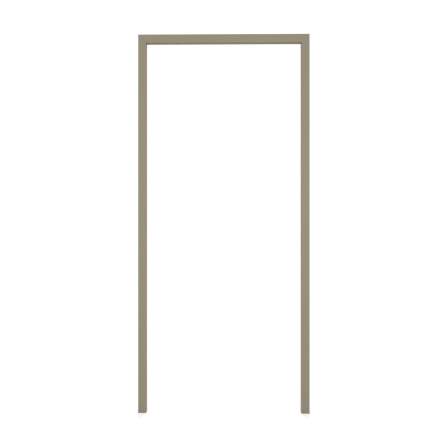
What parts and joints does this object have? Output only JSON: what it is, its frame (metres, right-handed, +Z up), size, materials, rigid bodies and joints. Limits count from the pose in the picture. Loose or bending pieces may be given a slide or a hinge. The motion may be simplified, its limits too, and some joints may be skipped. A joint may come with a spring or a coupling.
{
  "type": "upvc door frame",
  "caption": "Hollow uPVC door frame of jambs and head, with mitred welded corners, a rebated stop with a weather seal, steel tube reinforcement and no threshold.",
  "frame": {"origin": "on the floor, midway between the outer faces of the jambs and midway between front and back", "axes": "+Z up along the jambs, +X across the doorway to the right seen from the front, +Y from the flush side, which the picture shows, to the rebate side"},
  "size_m": [0.95, 0.055, 2.1],
  "materials": {
    "upvc_profile": "satin",
    "galvanised_tube": "satin",
    "bracket_steel": "satin",
    "screw_steel": "polished",
    "seal_rubber": "matte"
  },
  "bodies": {
    "root": {"left_jamb": "upvc_profile", "right_jamb": "upvc_profile", "head": "upvc_profile", "left_jamb_reinforcement": "galvanised_tube", "right_jamb_reinforcement": "galvanised_tube", "head_reinforcement": "galvanised_tube", "left_corner_bracket": "bracket_steel", "right_corner_bracket": "bracket_steel", "left_seal": "seal_rubber", "right_seal": "seal_rubber", "head_seal": "seal_rubber", "left_jamb_screws": "screw_steel", "right_jamb_screws": "screw_steel", "head_screws": "screw_steel", "left_bracket_screws": "screw_steel", "right_bracket_screws": "screw_steel"}
  },
  "joints": []
}
